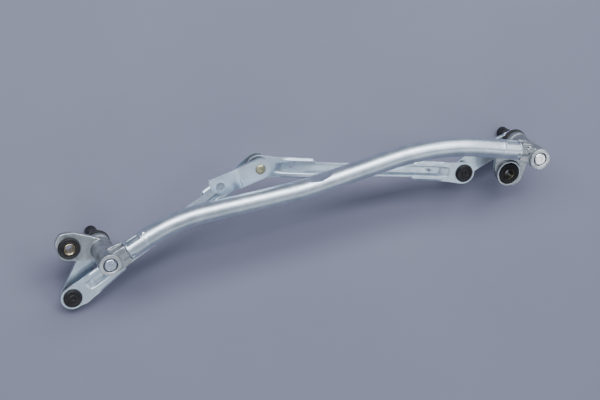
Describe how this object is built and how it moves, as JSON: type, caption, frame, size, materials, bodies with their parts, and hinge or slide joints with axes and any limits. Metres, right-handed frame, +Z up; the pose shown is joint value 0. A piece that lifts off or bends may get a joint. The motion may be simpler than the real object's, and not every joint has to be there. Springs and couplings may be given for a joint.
{
  "type": "windshield wiper linkage",
  "caption": "Twin-spindle windshield wiper linkage: bent steel tube frame, cast pivot housings, levers, link rods and motor crank",
  "frame": {"origin": "middle of the footprint, on the surface the linkage lies on", "axes": "+X from the left spindle to the right spindle, +Z up from the table, +Y to the side the tube bows to; the spindle axes lean in the YZ plane"},
  "size_m": [0.5082, 0.1082, 0.0993],
  "materials": {
    "zinc_plated_steel": "bright zinc plate, satin",
    "die_cast_aluminium": "as cast, matt",
    "bright_steel": "ground, plated",
    "spring_steel": "phosphated, dark",
    "sintered_bronze": "oiled sintered bronze",
    "black_rubber": "matt",
    "black_plastic": "satin",
    "olive_passivated_steel": "olive chromated zinc"
  },
  "bodies": {
    "frame": {"frame_tube": "zinc_plated_steel", "left_pivot_housing": "die_cast_aluminium", "left_upper_bush": "sintered_bronze", "left_lower_bush": "sintered_bronze", "left_shim_washer": "bright_steel", "left_dust_seal": "black_rubber", "left_grommet": "black_rubber", "left_grommet_sleeve": "olive_passivated_steel", "right_pivot_housing": "die_cast_aluminium", "right_upper_bush": "sintered_bronze", "right_lower_bush": "sintered_bronze", "right_shim_washer": "bright_steel", "right_dust_seal": "black_rubber", "right_grommet": "black_rubber", "right_grommet_sleeve": "olive_passivated_steel"},
    "left_lever_arm": {"left_spindle": "bright_steel", "left_lever": "zinc_plated_steel", "left_snap_ring": "spring_steel", "left_protective_cap": "black_plastic", "left_ball_stud": "bright_steel"},
    "left_link": {"left_link_rod": "zinc_plated_steel", "left_ball_socket": "black_plastic", "left_eye_bush": "black_plastic"},
    "right_lever_arm": {"right_spindle": "bright_steel", "right_lever": "zinc_plated_steel", "right_snap_ring": "spring_steel", "right_protective_cap": "black_plastic", "right_ball_stud": "bright_steel"},
    "right_link": {"right_link_rod": "zinc_plated_steel", "right_ball_socket": "black_plastic", "right_eye_bush": "black_plastic"},
    "crank": {"motor_crank": "zinc_plated_steel", "crank_pin": "olive_passivated_steel", "pin_clip": "spring_steel"}
  },
  "joints": [
    {"name": "left_spindle_turn", "type": "hinge", "parent": "frame", "child": "left_lever_arm", "pos_m": [-0.2087, -0.00761, 0.05695], "axis": [0, -0.4041, 0.9147], "range_deg": [-5, 45]},
    {"name": "right_spindle_turn", "type": "hinge", "parent": "frame", "child": "right_lever_arm", "pos_m": [0.2413, -0.00761, 0.05695], "axis": [0, -0.4041, 0.9147], "range_deg": [-4.65, 41.45]},
    {"name": "left_link_swing", "type": "hinge", "parent": "left_lever_arm", "child": "left_link", "pos_m": [-0.2425, -0.04173, 0.01192], "axis": [0, -0.4041, 0.9147], "range_deg": [-42.3, 4.74]},
    {"name": "right_link_swing", "type": "hinge", "parent": "right_lever_arm", "child": "right_link", "pos_m": [0.1793, -0.01429, 0.02404], "axis": [0, -0.4041, 0.9147], "range_deg": [-50.54, 5.66]},
    {"name": "crank_turn", "type": "hinge", "parent": "left_link", "child": "crank", "pos_m": [-0.0441, 0.03603, 0.07841], "axis": [0, -0.4041, 0.9147], "continuous": true}
  ],
  "couplings": [
    {"joint": "right_spindle_turn", "follows": "left_spindle_turn", "ratio": 0.92},
    {"joint": "left_link_swing", "follows": "left_spindle_turn", "ratio": -0.939},
    {"joint": "right_link_swing", "follows": "left_spindle_turn", "ratio": -1.122}
  ]
}
